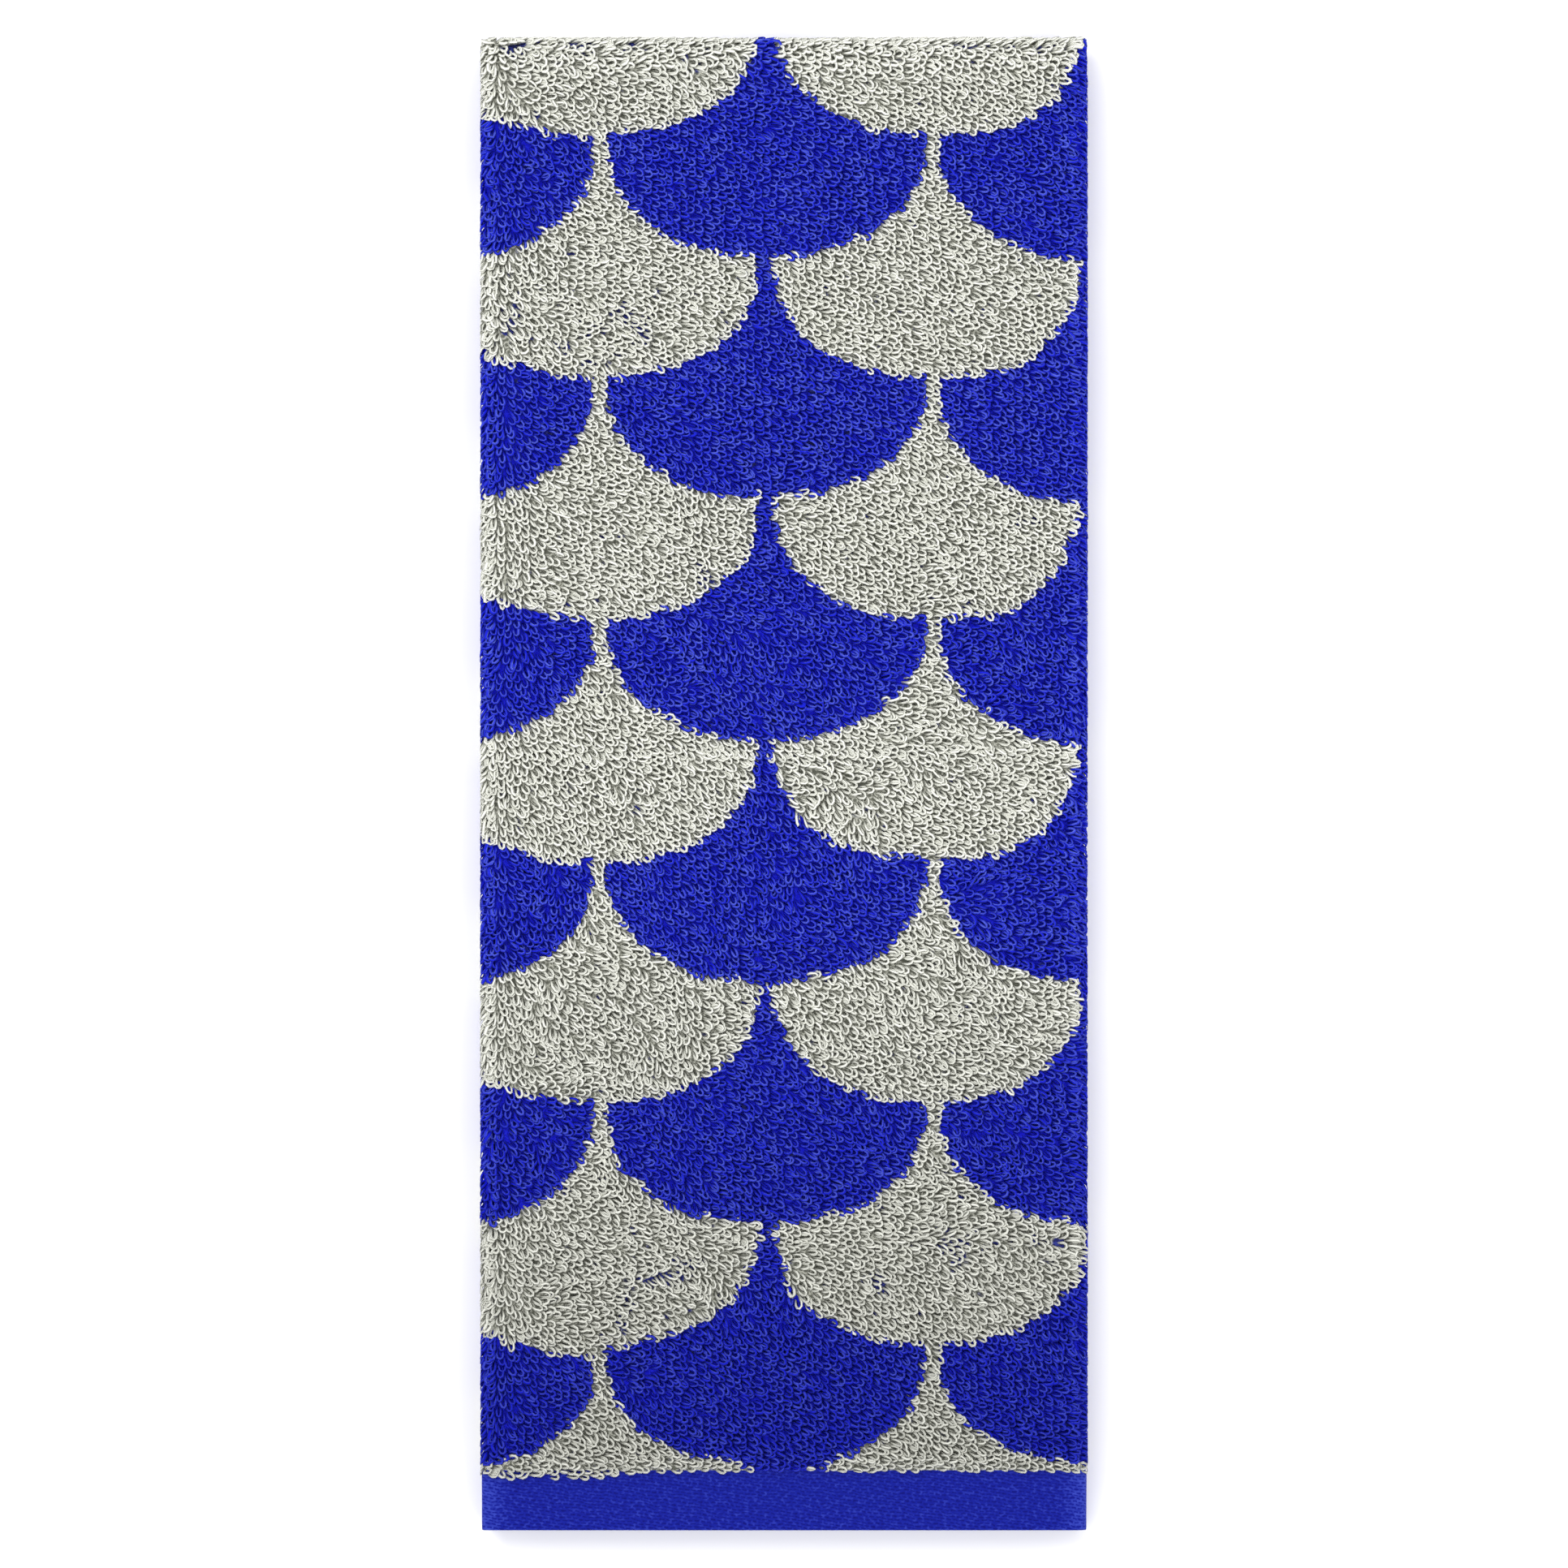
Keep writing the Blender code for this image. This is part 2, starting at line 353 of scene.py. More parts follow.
# The colours of the loops' feet and of the ground between the warp and weft, dark and light, and of the hem.
# The feet are painted as the shade between the loops, with painted strands in it
GREY_SHADED_FEET = ((0.12, 0.125, 0.10), (0.50, 0.505, 0.44))
BLUE_SHADED_FEET = ((0.002, 0.004, 0.52), (0.007, 0.012, 0.56))
GROUND = ((0.012, 0.015, 0.10), (0.030, 0.040, 0.26))
HEM_COLOURS = ((0.0012, 0.0018, 0.13), (0.0042, 0.0095, 0.243), (0.028, 0.046, 0.38))
BLACK = (0.0, 0.0, 0.0)
WHITE = (1.0, 1.0, 1.0)

# The hem's weave: a float's width and height, how many floats each row starts further on, the rows' slope,
# how much they waver and slide, the dashes between the floats, and how much painted sheen lightens the side
# edges
FLOAT_WIDTH = 0.00155
FLOAT_HEIGHT = 0.00084
FLOAT_SHIFT = 0.40
FLOAT_SLANT = 0.13
FLOAT_WAVER = 0.0016
FLOAT_SLIDE = 0.9
DASH_ENDS = (0.10, 0.22)
DASH_SIDES = (0.30, 0.04)
DASH_DEPTH = 0.42
HEM_EDGE_SHEEN_PART = (0.0660, 0.0760)
HEM_EDGE_PAINTED_SHEEN = 0.34

# The white ground, the sky, and the camera, with the photo's width and the towel's length in it in pixels
FLOOR_HALF_SIDE = 15.0
FLOOR_DROP = 0.0001
FLOOR_WHITE = (0.97, 0.97, 0.97)
SKY_STRENGTH = 1.12
PHOTO_PIXELS = 1932.0
TOWEL_PIXELS = 1843.0
CAMERA_LENS = 250.0
CAMERA_SENSOR = 36.0
CAMERA_REACH = 50.0


def smooth_step(value, low, high):
    share = np.clip((value - low) / (high - low), 0.0, 1.0)
    return share * share * (3.0 - 2.0 * share)


def blended(value, other, share):
    """A value that goes over into another by a share of their difference."""
    return value + (other - value) * share


def layer_pitch(from_hem):
    return blended(HEM_PITCH, LAYER_PITCH, smooth_step(from_hem, 0.0, DROOP_LENGTH))


def terry_thickness(from_hem):
    """One layer's thickness, had it no flat hem."""
    return np.minimum(TERRY_THICKNESS, layer_pitch(from_hem) - LEAST_GAP)


def cloth_thickness(from_hem):
    return blended(HEM_THICKNESS, terry_thickness(from_hem), smooth_step(from_hem, *HEM_STEP))


def stack_height(from_hem):
    return (LAYERS - 1) * layer_pitch(from_hem) + cloth_thickness(from_hem)


def hem_distance(along):
    """How far a place along the cloth lies from the nearer hem's end."""
    return np.minimum(along, CLOTH_LENGTH - along)


def selvedge_distance(across):
    """How far a place across the cloth lies from the nearer selvedge's edge."""
    return np.minimum(across - INNER_SELVEDGE, OUTER_SELVEDGE - across)


def squared(u, v):
    """How much further out a place round a fold lies than on a circle, at u and v from the fold's middle."""
    power_sum = np.abs(u) ** SIDE_POWER + np.abs(v) ** SIDE_POWER
    return np.hypot(u, v) / np.maximum(power_sum, 1e-15) ** (1 / SIDE_POWER)


def across_folds(across, out, from_hem):
    """x and depth below the face of a place across the cloth, and out from its middle."""
    thick, pitch = cloth_thickness(from_hem), layer_pitch(from_hem)
    face = thick / 2
    left = -PANEL_WIDTH / 2 + thick / 2 + pitch / 2
    right = PANEL_WIDTH / 2 - thick / 2 - pitch
    stretch = (right - left) / (RIGHT_FOLD - LEFT_FOLD)
    x = left + (across - LEFT_FOLD) * stretch
    depth = face - out
    for side, fold, past, pitches in (
        (1, right, across - RIGHT_FOLD, 1.0),
        (-1, left, LEFT_FOLD - across, 0.5),
    ):
        radius, flat_radius = pitch * pitches, LAYER_PITCH * pitches
        turn = np.clip(past / flat_radius, 0.0, math.pi)
        beyond = np.maximum(past - math.pi * flat_radius, 0.0)
        u, v = (radius + out) * np.sin(turn), (radius + out) * np.cos(turn)
        x = np.where(past > 0.0, fold + side * (u * squared(u, v) - beyond * stretch), x)
        depth = np.where(past > 0.0, face + radius - v * squared(u, v), depth)
    return x, depth


def squared_corners(x, y):
    """x and y, with the corners at the top fold pushed out from round towards square."""
    reach = np.where(x < 0.0, LEFT_CORNER, RIGHT_CORNER)
    over_x = np.maximum((np.abs(x) - PANEL_WIDTH / 2) / reach + 1.0, 0.0)
    over_y = np.maximum((y - FOLDED_LENGTH) / reach + 1.0, 0.0)
    power_sum = over_x ** CORNER_POWER + over_y ** CORNER_POWER
    grow = np.hypot(over_x, over_y) / np.maximum(power_sum, 1e-12) ** (1 / CORNER_POWER)
    grow = np.where((over_x > 0.0) & (over_y > 0.0), grow, 1.0)
    new_x = np.sign(x) * (PANEL_WIDTH / 2 + (over_x * grow - 1.0) * reach)
    new_y = FOLDED_LENGTH + (over_y * grow - 1.0) * reach
    return np.where(over_x > 0.0, new_x, x), np.where(over_y > 0.0, new_y, y)


def folded(across, along, out):
    """Where a place on the flat cloth lies on the folded towel, as points in the row frame."""
    across, along, out = np.broadcast_arrays(across, along, out)
    from_hem = hem_distance(along)
    x, depth = across_folds(across, out, from_hem)
    radius = STACK / 2
    turn = np.clip((along - TOP_FOLD) / TOP_RADIUS, 0.0, math.pi)
    recess = HEM_RECESS * (1.0 - smooth_step(from_hem, 0.0, RECESS_LENGTH))
    straight = np.minimum(from_hem, TOP_FOLD)
    below_face = np.maximum(depth - LAYER_PITCH, 0.0)
    y = straight + recess * below_face / (LAYERS / 2 * LAYER_PITCH) + (radius - depth) * np.sin(turn)
    height = stack_height(from_hem)
    z = np.where(along < TOP_FOLD, height - depth, radius + (radius - depth) * np.cos(turn))
    z = np.where(along > BACK_START, depth, z)
    x, y = squared_corners(x, y)

    swell = np.sin(2 * math.pi * y / SWELL_LENGTH + SWELL_START) * np.cos(math.pi * x / SWELL_WIDTH)
    low = 1.0 - np.clip(z / height, 0.0, 1.0)
    wander = WANDER * low * np.sin(2 * math.pi * y / WANDER_LENGTH + WANDER_START)
    x = x * (1.0 - LOWER_TAPER * low) + wander
    return np.stack([x, y - FOLDED_LENGTH / 2, z * (1.0 + SWELL * swell)], axis=-1)


def highest_scale(across, along, first):
    """The number of the highest scale of one colour that covers a place: even ones grey, odd ones blue."""
    middle = GREY_MIDDLE + first * HALF_PERIOD
    off = (across - middle + HALF_PERIOD) % (2 * HALF_PERIOD) - HALF_PERIOD
    inside = np.clip(1.0 - np.abs(off / SCALE_HALF_WIDTH) ** SCALE_POWER, 0.0, 1.0)
    round_edge = inside ** (1.0 / SCALE_POWER)
    above = along - GREY_BOTTOM - OVERHANG - SCALE_DEPTH * (1.0 - round_edge)
    number = 2 * np.floor((above / SCALE_STEP - first) / 2) + first
    return np.where(np.abs(off) < SCALE_HALF_WIDTH, number, NO_SCALE)


def drawn_in(across, along):
    """How far across the pattern a place lies: the scales' tips at the right edge are drawn in a little."""
    shift = np.interp(along, *zip(*TIP_SHIFTS))
    return across + shift * smooth_step(across, *TIP_PART)


def sagged(across, along):
    """How far along the pattern a place lies: scales hang lower at the left, at the hem and at the right."""
    left_sag = blended(LEFT_SAG, LOW_LEFT_SAG, 1.0 - smooth_step(along, *LOW_SAG_ROWS))
    left_sag = left_sag * blended(KEPT_SAG, 1.0, smooth_step(along, *KEPT_SAG_ROWS))
    left_sag = left_sag * smooth_step(-across, *LEFT_SAG_PART)
    hem_sag = HEM_SAG * (1.0 - smooth_step(along, *HEM_SAG_ROWS))
    hem_sag = hem_sag * (1.0 - smooth_step(np.abs(across), *HEM_SAG_PART))
    right_sag = RIGHT_SAG * smooth_step(across, *RIGHT_SAG_PART) * smooth_step(along, *RIGHT_SAG_ROWS)
    return along + left_sag + hem_sag + right_sag


def is_grey(across, along):
    """True where the loops rooted there are grey. Each scale lies over the one nearer the hem."""
    across, along = drawn_in(across, along), sagged(across, along)
    return highest_scale(across, along, 0) > highest_scale(across, along, 1)


def soft_noise(across, along, kind):
    """Smooth noise over the flat cloth. Its kind is how strong it is, the size of its bumps and its seed."""
    strength, cell, seed = kind
    grid = np.random.default_rng(seed).uniform(-1.0, 1.0, (NOISE_SIDE, NOISE_SIDE))
    u, v = across / cell + NOISE_START[0], along / cell + NOISE_START[1]
    left, low = np.floor(u).astype(int), np.floor(v).astype(int)
    su, sv = u - left, v - low
    su, sv = su * su * (3 - 2 * su), sv * sv * (3 - 2 * sv)
    corner = [
        grid[(left + i) % NOISE_SIDE, (low + j) % NOISE_SIDE]
        for i, j in ((0, 0), (1, 0), (0, 1), (1, 1))
    ]
    lower = corner[0] * (1 - su) + corner[1] * su
    upper = corner[2] * (1 - su) + corner[3] * su
    return strength * (lower * (1 - sv) + upper * sv)


def placed(name, data):
    """A new object in the scene."""
    made = bpy.data.objects.new(name, data)
    bpy.context.scene.collection.objects.link(made)
    return made


def mesh_object(name, points, faces, materials, values):
    """A mesh from a point array, arrays of faces with one corner count each, and named point values."""
    mesh = bpy.data.meshes.new(name)
    corners = np.concatenate([f.ravel() for f in faces])
    counts = np.concatenate([np.full(len(f), f.shape[1]) for f in faces])
    mesh.vertices.add(len(points))
    mesh.vertices.foreach_set("co", points.astype(np.float32).ravel())
    mesh.loops.add(len(corners))
    mesh.loops.foreach_set("vertex_index", corners.astype(np.int32))
    mesh.polygons.add(len(counts))
    mesh.polygons.foreach_set("loop_start", (np.cumsum(counts) - counts).astype(np.int32))
    mesh.update(calc_edges=True)
    for value_name, value in values.items():
        kind, field = ("FLOAT_VECTOR", "vector") if value.ndim == 2 else ("FLOAT", "value")
        attribute = mesh.attributes.new(value_name, kind, "POINT")
        attribute.data.foreach_set(field, value.astype(np.float32).ravel())
    mesh.validate()
    mesh.shade_smooth()
    for material in materials:
        mesh.materials.append(material)
    return placed(name, mesh)


def partings(across, along):
    """How the partings push the pile, across and along: away from their lines. And how bare they leave it."""
    push_across, push_along, bare = (np.zeros(across.shape) for _ in range(3))
    for middle_across, middle_along, slope, half_length, push, baring in PARTINGS:
        cos, sin = math.cos(math.radians(slope)), math.sin(math.radians(slope))
        u, v = across - middle_across, along - middle_along
        on_line = (u * cos + v * sin) / half_length
        off_line = (v * cos - u * sin) / PARTING_REACH
        near = np.exp(-on_line ** 4 - np.abs(off_line))
        side = np.tanh(off_line * PARTING_SHARPNESS)
        push_across -= push * near * side * sin
        push_along += push * near * side * cos
        bare = np.maximum(bare, baring * near)
    return push_across, push_along, bare


def pile_band(along, column):
    """One column of the table of bands, between the bands and beyond them."""
    return np.interp(along, [band[0] for band in PILE_BANDS], [band[column] for band in PILE_BANDS])


def unruliness(across, along):
    """How much the loops stray from their neighbours: calm and wild places lie side by side."""
    tousled = TOUSLED_LEFT * smooth_step(-across, *TOUSLED_PART) * smooth_step(along, *TOUSLED_ROWS)
    patches = np.maximum(1.0 + soft_noise(across, along, CALM_AND_WILD), LEAST_WILD)
    wild = (pile_band(along, 4) + tousled) * patches
    return wild * blended(WILD_AT_HEM, 1.0, smooth_step(hem_distance(along), *CALM_ROWS))


def margin_way(left, along):
    """The way of the pile near the left edge: steep in the middle rows, and less so above and at the hem."""
    way = blended(WAY_LEFT, left + TURN_UPPER_LEFT, smooth_step(along, *UPPER_LEFT))
    return blended(way, left, smooth_step(LOW_LEFT_END - along, 0.0, LOW_LEFT_FADE))


def lean(across, along):
    """The way that the pile leans, as a vector in the flat cloth. Its length is how flat it lies."""
    wild = unruliness(across, along)
    left, middle, right = (pile_band(along, column) for column in (1, 2, 3))
    way = blended(middle, left, smooth_step(-across, *LEFT_PART))
    way = blended(way, right, smooth_step(across, *RIGHT_PART))
    way = way + wild * soft_noise(across, along, BROAD_STRAYING)
    way = blended(way, WAY_EDGE, smooth_step(across, *RIGHT_EDGE))
    way = blended(way, margin_way(left, along), smooth_step(-across, *LEFT_MARGIN))
    ridge = LEFT_RIDGE + soft_noise(np.zeros(across.shape), along, RIDGE_WANDER)
    way = blended(way, WAY_LEFT_FOLD, smooth_step(-across - ridge, *OVER_RIDGE))
    way = way + wild * soft_noise(across, along, NEAR_STRAYING)
    way = way + wild * soft_noise(across, along, FINE_STRAYING)
    fold_line = FOLD_LINE - FOLD_LINE_DROP * smooth_step(across, *FOLD_LINE_PART)
    past_fold = along + soft_noise(across, along, FOLD_WANDER) - fold_line
    way = blended(way, WAY_FOLD, smooth_step(past_fold, *OVER_FOLD))
    way = np.radians(blended(way, WAY_HEM, smooth_step(HEM_WAY_END - along, 0.0, HEM_WAY_FADE)))
    strength = LEAN * (1.0 + soft_noise(across, along, LEAN_CHANGE))
    push_across, push_along, _ = partings(across, along)
    return strength * np.cos(way) + push_across, strength * np.sin(way) + push_along


def pile_height(across, along):
    """How much of their full height the loops keep: they are pressed at the folds and under the towel."""
    at_right, at_left = smooth_step(across, *RIGHT_PRESSED_PART), smooth_step(-across, *LEFT_PRESSED_PART)
    at_sides = PRESSED_AT_SIDES * np.maximum(at_right, at_left)
    at_top = PRESSED_AT_TOP * smooth_step(along, *TOP_PRESSED_PART)
    under = PRESSED_UNDER * smooth_step(along, *UNDER_PRESSED_PART)
    return 1.0 - np.maximum(at_sides, at_top) - under


def pressed(points):
    """The points, with those past the towel's straight edges pressed back to them, as folds are pressed."""
    for axis, edge in ((0, PANEL_WIDTH / 2 - SIDE_PRESS), (1, FOLDED_LENGTH / 2 - TOP_PRESS)):
        over = np.maximum(np.abs(points[:, axis]) - edge, 0.0)
        flat = edge + EDGE_GIVE * (1.0 - np.exp(-over / EDGE_GIVE))
        points[:, axis] = np.where(over > 0.0, np.sign(points[:, axis]) * flat, points[:, axis])
    return points


def outside(across):
    """How far across a place on the cloth lies, measured on the outside of the pile, round the side folds."""
    return np.interp(across, ACROSS_TURNS, OUTSIDE_TURNS)


def across_at(outside_across):
    """The reverse of outside."""
    return np.interp(outside_across, OUTSIDE_TURNS, ACROSS_TURNS)


def loop_field(low, high, start, end, seed, spread=1.0, crowding=1.0):
    """Where loops are rooted on the flat cloth between low and high across and start and end along."""
    rng = np.random.default_rng(seed)
    columns = np.arange(low, high, COLUMN * spread / crowding)
    rows = np.arange(start, end, ROW * spread)
    across, along = np.meshgrid(columns, rows)
    along = along + (np.arange(len(columns)) % 2) * ROW * spread / 2
    across = across + rng.normal(0.0, COLUMN_JITTER, across.shape) * COLUMN * spread
    along = along + rng.normal(0.0, ROW_JITTER, along.shape) * ROW * spread
    near_hem = 1.0 - smooth_step(hem_distance(along), *DROP_ROWS)
    at_left = smooth_step(-across, *DROP_PART) - DROP_LOSS * smooth_step(-across, *DROP_LOSS_PART)
    drop = HEM_LINE_DROP * at_left * near_hem
    along = np.where(along < CLOTH_LENGTH / 2, along - drop, along + drop)
    bare_from = BARE_FROM + rng.uniform(-BARE_JITTER, BARE_JITTER, across.shape)
    covered = partings(across, along)[2] < bare_from
    return across[covered], along[covered]


def rises(flatness, steepness, rng):
    """How steeply each loop rises from the cloth, in radians, where the pile is as flat as given."""
    most, less_if_flat, deviation = steepness
    return np.radians(most - less_if_flat * flatness + rng.normal(0.0, deviation, len(flatness)))


def sizes(count, size_range, rng):
    """Random factors about 1 for the sizes of that many loops."""
    deviation, least, most = size_range
    return np.clip(rng.normal(1.0, deviation, count), least, most)


def loop_paths(across, along, shape, spread, rng):
    """The middle lines of loops rooted at the given places, a row of points each, and their outward ways."""
    count = len(across)
    to_side, to_far = lean(across, along)
    wild = unruliness(across, along)
    way_jitter = rng.normal(0.0, 1.0, count) * WAY_JITTER * (WAY_JITTER_CALM + wild)
    way = np.arctan2(to_far, to_side) + way_jitter
    flatness = np.clip(np.hypot(to_side, to_far) / FLATTEST, 0.0, 1.0)
    rise_root = rises(flatness, ROOT_RISE, rng)
    rise_tip = rises(flatness, TIP_RISE, rng)
    small = 1.0 - SMALLER_AT_HEM * (1.0 - smooth_step(hem_distance(along), *SMALLER_ROWS))
    length = LOOP_LENGTH * spread * small * sizes(count, LENGTH_RANGE, rng)
    half_width = LOOP_HALF_WIDTH * spread * small * sizes(count, WIDTH_RANGE, rng)
    turned = rng.uniform(0.0, 1.0, count) < TURNED_SHARE * (TURNED_SHARE_CALM + wild)
    twist = rng.normal(0.0, 1.0, count) * np.where(turned, TURNED_JITTER, TWIST_JITTER)
    sway = LOOP_SWAY * spread * rng.normal(0.0, 1.0, count)

    share, wide = np.array(shape).T[:, None, :]
    bend = (rise_tip - rise_root)[:, None]
    rise = rise_root[:, None] + bend * share
    run = length[:, None] * (np.sin(rise) - np.sin(rise_root)[:, None]) / bend
    climb = -length[:, None] * (np.cos(rise) - np.cos(rise_root)[:, None]) / bend

    ahead = np.stack([np.cos(way), np.sin(way), np.zeros(count)], axis=-1)[:, None, :]
    beside = np.stack([-np.sin(way), np.cos(way), np.zeros(count)], axis=-1)[:, None, :]
    up = np.array([0.0, 0.0, 1.0])
    above = up * np.cos(rise)[..., None] - ahead * np.sin(rise)[..., None]
    turn_cos, turn_sin = np.cos(twist)[:, None, None], np.sin(twist)[:, None, None]
    sideways = beside * turn_cos + above * turn_sin
    outward = above * turn_cos - beside * turn_sin

    root = np.stack([across, along, np.zeros(count)], axis=-1)[:, None, :]
    middle = root + ahead * run[..., None] + up * climb[..., None]
    middle = middle + sideways * (wide * half_width[:, None])[..., None]
    middle = middle + beside * (sway[:, None] * share ** 2)[..., None]
    middle[..., 2] = ROOT_OUT + middle[..., 2] * pile_height(middle[..., 0], middle[..., 1])
    return middle, outward


def yarn_tubes(middle, outward, thickness):
    """Points of closed three-sided tubes along middle lines, one line to a row, and their faces.

    The first corner of each ring is the ridge that faces outwards, between the yarn's two plies."""
    tangent = np.empty_like(middle)
    tangent[:, 1:-1] = middle[:, 2:] - middle[:, :-2]
    tangent[:, 0] = middle[:, 1] - middle[:, 0]
    tangent[:, -1] = middle[:, -1] - middle[:, -2]
    tangent /= np.linalg.norm(tangent, axis=-1, keepdims=True)
    side = np.cross(tangent, outward)
    side /= np.linalg.norm(side, axis=-1, keepdims=True)
    outward = np.cross(side, tangent)
    ring = []
    for corner in range(3):
        angle = math.pi / 2 + corner * 2 * math.pi / 3
        offset = side * (YARN_HALF_WIDTH * math.cos(angle)) + outward * (YARN_HALF_HEIGHT * math.sin(angle))
        ring.append(middle + offset * thickness[:, None, None])
    points = np.stack(ring, axis=2)

    count, steps = middle.shape[:2]
    corner = np.arange(3)
    nearby = (corner + 1) % 3
    near = 3 * np.arange(steps - 1)[:, None]
    far = near + 3
    quads = np.stack([near + corner, far + corner, far + nearby, near + nearby], axis=-1).reshape(-1, 4)
    caps = np.array([[0, 1, 2], [3 * steps - 1, 3 * steps - 2, 3 * steps - 3]])
    first = (np.arange(count) * 3 * steps)[:, None, None]
    return points.reshape(-1, 3), [(quads + first).reshape(-1, 4), (caps + first).reshape(-1, 3)]


def loop_piece(name, across, along, shape, spread, seed, material):
    """One piece of many loops. Its painted shade grows from dark roots to light tips; its ply is 0 on the
    yarn's ridge.
    """
    rng = np.random.default_rng(seed)
    middle, outward = loop_paths(across, along, shape, spread, rng)
    at_side = 1.0 - smooth_step(PANEL_WIDTH / 2 - np.abs(across), *SIDE_PART)
    thickness = spread * sizes(len(across), YARN_RANGE, rng) * (1.0 - SIDE_THINNING * at_side)
    points, faces = yarn_tubes(middle, outward, thickness)
    roots = np.repeat(across, 3 * len(shape))
    points[:, 0] = across_at(outside(roots) + points[:, 0] - roots)
    points = pressed(folded(points[:, 0], points[:, 1], points[:, 2]))
    points[:, 2] = np.maximum(points[:, 2], FLOOR_CLEARANCE)
    # Loops differ at random, and those at the side folds get painted shade
    tone_and_side_shade = (rng.uniform(*TONES, len(across)) * (1.0 - SIDE_SHADE * at_side))[:, None]
    # Painted shade along each loop: dark at its root, lighter towards its tip
    shade = tone_and_side_shade * smooth_step(np.array(shape)[None, :, 0], *SHADED_PART)
    ply = np.tile([0.0, 1.0, 1.0], shade.size)
    return mesh_object(name, points, faces, [material], {"shade": np.repeat(shade.ravel(), 3), "ply": ply})


def pile_pieces(part, across, along, shape, materials, seed, spread=1.0):
    """The loops of one part of the towel, as one piece for each colour."""
    grey = is_grey(across, along)
    pieces = []
    for number, (colour, chosen) in enumerate((("grey", grey), ("blue", ~grey))):
        pieces.append(loop_piece(f"pile_{colour}_{part}", across[chosen], along[chosen],
                                 shape, spread, seed + number, materials[colour]))
    return pieces


def cloth_grid():
    """Where the lines of the cloth's grid lie across it and along it."""
    across = np.concatenate([
        INNER_SELVEDGE + SELVEDGE_LINES,
        np.linspace(INNER_SELVEDGE + FLAP_START, INNER_FLAP, FLAP_LINES)[:-1],
        np.linspace(INNER_FLAP, LEFT_FOLD, LEFT_FOLD_LINES)[:-1],
        np.linspace(LEFT_FOLD, RIGHT_FOLD, FACE_LINES)[:-1],
        np.linspace(RIGHT_FOLD, OUTER_FLAP, RIGHT_FOLD_LINES)[:-1],
        np.linspace(OUTER_FLAP, OUTER_SELVEDGE - FLAP_START, FLAP_LINES),
        OUTER_SELVEDGE - SELVEDGE_LINES[::-1],
    ])
    face = np.linspace(DROOP_LENGTH, TOP_FOLD, FACE_ROWS)[1:]
    fold = np.linspace(TOP_FOLD, BACK_START, TOP_FOLD_ROWS)[1:-1]
    under = np.linspace(DROOP_LENGTH, TOP_FOLD, UNDER_ROWS)[1:]
    back = CLOTH_LENGTH - np.concatenate([HEM_ROWS, under])[::-1]
    return across, np.concatenate([HEM_ROWS, face, fold, back])


def cloth_out(across, along):
    """How far out the cloth's two faces lie from its middle: thin under the loops, full where hidden."""
    from_hem = hem_distance(along)
    stepped_up = smooth_step(from_hem, *HEM_STEP_UP)
    stepped_up = stepped_up * smooth_step(selvedge_distance(across), *SELVEDGE_STEP_UP)
    hidden = terry_thickness(from_hem) / 2 - HIDDEN_MARGIN
    bed = np.where((across > BED_PART[0]) & (across < BED_PART[1]), BED_OUT, hidden)
    at_end = np.where((along == along.min()) | (along == along.max()), THICKNESS_AT_END, 1.0)
    outer, inner = (blended(HEM_THICKNESS / 2, face, stepped_up) * at_end for face in (bed, hidden))
    return outer, -inner


def sheet_faces(rows, wide):
    """The faces of a closed sheet: rings of points round its two faces and edges, and its two flat ends.

    A ring has wide points on the outer face, one past its edge, wide on the inner face and one past that."""
    count = 2 * wide + 2
    step = np.arange(count)
    nearby = (step + 1) % count
    near = count * np.arange(rows - 1)[:, None]
    far = near + count
    quads = np.stack([near + step, near + nearby, far + nearby, far + step], axis=-1).reshape(-1, 4)
    step = np.arange(wide - 1)
    end = np.stack([step, 2 * wide - step, 2 * wide - 1 - step, step + 1], axis=-1)
    corners = np.array([[0, 2 * wide + 1, 2 * wide], [wide - 1, wide + 1, wide]])
    last = (rows - 1) * count
    quads = np.concatenate([quads, end, last + end[:, ::-1]])
    return [quads, np.concatenate([corners, last + corners[:, ::-1]])]


def cloth_piece(materials):
    """The woven cloth itself, folded, with its flat hems, as one closed thin sheet."""
    across, along = cloth_grid()
    u, v = np.meshgrid(across, along)
    outer, inner = (folded(u, v, out) for out in cloth_out(u, v))
    start_tip = folded(u[:, 0] - SIDE_ROUNDING, v[:, 0], 0.0)[:, None]
    end_tip = folded(u[:, -1] + SIDE_ROUNDING, v[:, 0], 0.0)[:, None]
    rings = np.concatenate([outer, end_tip, inner[:, ::-1], start_tip], axis=1)

    flat_across = np.concatenate([u, u[:, -1:], u[:, ::-1], u[:, :1]], axis=1)
    flat_along = np.repeat(v[:, :1], flat_across.shape[1], axis=1)
    flat = np.stack([flat_across, flat_along], axis=-1).reshape(-1, 2)
    root_across, root_along = flat[:, 0] - BED_SHIFT, flat[:, 1] + BED_DROP
    pattern = np.stack([drawn_in(root_across, root_along), sagged(root_across, root_along)], axis=-1)
    values = {
        "bare": partings(flat[:, 0], flat[:, 1])[2],
        "pattern": np.pad(pattern, ((0, 0), (0, 1))),
        "flat": np.pad(flat, ((0, 0), (0, 1))),
    }
    faces = sheet_faces(len(along), len(across))
    woven = [materials["bed"], materials["hem"]]
    piece = mesh_object("towel_cloth", rings.reshape(-1, 3), faces, woven, values)
    piece.data.polygons.foreach_set("material_index", woven_faces(piece, flat).astype(np.int32))
    piece.data.set_sharp_from_angle(angle=SHARP_ANGLE)
    return piece


